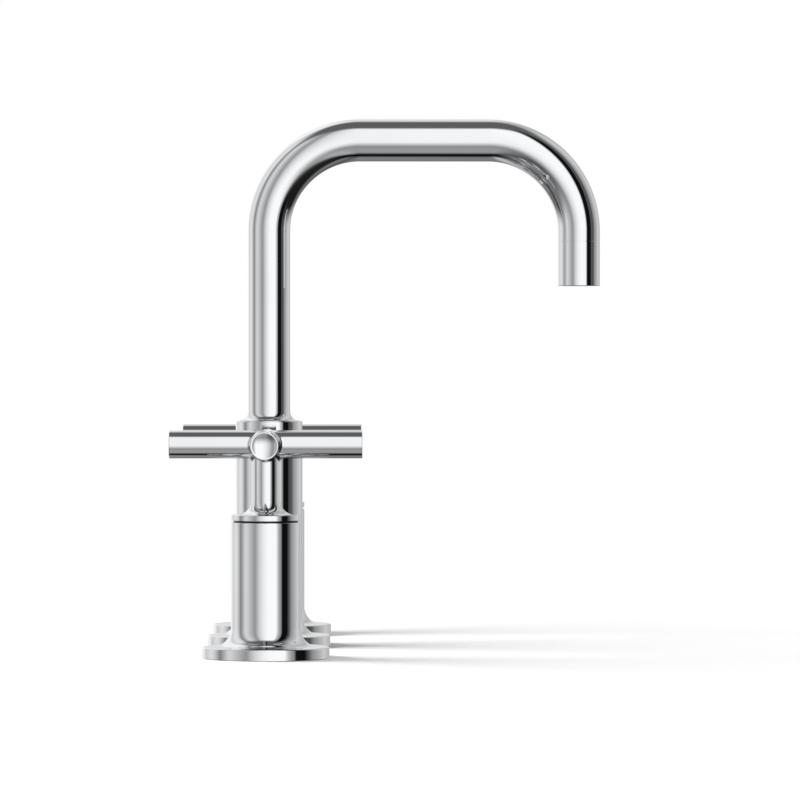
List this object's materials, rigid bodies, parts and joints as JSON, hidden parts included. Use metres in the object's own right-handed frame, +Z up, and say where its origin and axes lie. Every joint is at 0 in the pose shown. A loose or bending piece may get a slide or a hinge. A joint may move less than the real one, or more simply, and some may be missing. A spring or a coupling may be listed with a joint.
{
  "type": "widespread bathroom faucet",
  "caption": "Deck-mounted faucet: a tall bent-tube spout between hot and cold cross-handle valves, on round flanges, with the shanks and nuts that hold it below the deck.",
  "frame": {"origin": "on the deck plane at the spout's centre", "axes": "+Z up from the deck, -Y the way the spout points (towards the user), +X from the hot valve to the cold valve"},
  "size_m": [0.287, 0.1911, 0.3198],
  "materials": {
    "polished_chrome": "polished chrome plate",
    "brass": "turned",
    "stainless_steel": "bright",
    "black_rubber": "moulded",
    "ceramic": "lapped alumina ceramic",
    "white_acetal": "moulded",
    "black_acetal": "moulded"
  },
  "bodies": {
    "fixed_units": {"hot_escutcheon": "polished_chrome", "hot_deck_gasket": "black_rubber", "hot_upper_ring_nut": "brass", "hot_valve_body": "brass", "hot_mounting_washer": "black_rubber", "hot_mounting_nut": "brass", "hot_seat_seal": "black_rubber", "hot_cartridge_housing": "brass", "hot_fixed_disc": "ceramic", "hot_gland_nut": "brass", "hot_glide_ring": "black_acetal", "cold_escutcheon": "polished_chrome", "cold_deck_gasket": "black_rubber", "cold_upper_ring_nut": "brass", "cold_valve_body": "brass", "cold_mounting_washer": "black_rubber", "cold_mounting_nut": "brass", "cold_seat_seal": "black_rubber", "cold_cartridge_housing": "brass", "cold_fixed_disc": "ceramic", "cold_gland_nut": "brass", "cold_glide_ring": "black_acetal", "spout_escutcheon": "polished_chrome", "spout_deck_gasket": "black_rubber", "spout_tube": "polished_chrome", "spout_o_ring": "black_rubber", "spout_shank": "brass", "spout_mounting_washer": "black_rubber", "spout_mounting_nut": "brass", "tee_seal": "black_rubber", "spout_tee": "brass", "aerator_sleeve": "polished_chrome", "aerator_washer": "black_rubber", "flow_regulator": "white_acetal", "aerator_insert": "white_acetal", "aerator_screen": "stainless_steel"},
    "hot_handle": {"hot_cross_handle": "polished_chrome", "hot_set_screw": "stainless_steel", "hot_handle_adapter": "brass", "hot_adapter_screw": "stainless_steel", "hot_spindle": "brass", "hot_spindle_o_ring": "black_rubber", "hot_moving_disc": "ceramic"},
    "cold_handle": {"cold_cross_handle": "polished_chrome", "cold_set_screw": "stainless_steel", "cold_handle_adapter": "brass", "cold_adapter_screw": "stainless_steel", "cold_spindle": "brass", "cold_spindle_o_ring": "black_rubber", "cold_moving_disc": "ceramic"}
  },
  "joints": [
    {"name": "hot_handle_turn", "type": "hinge", "parent": "fixed_units", "child": "hot_handle", "pos_m": [-0.1016, 0, 0.0926], "axis": [0, 0, 1], "range_deg": [0, 90]},
    {"name": "cold_handle_turn", "type": "hinge", "parent": "fixed_units", "child": "cold_handle", "pos_m": [0.1016, 0, 0.0926], "axis": [0, 0, 1], "range_deg": [-90, 0]}
  ]
}
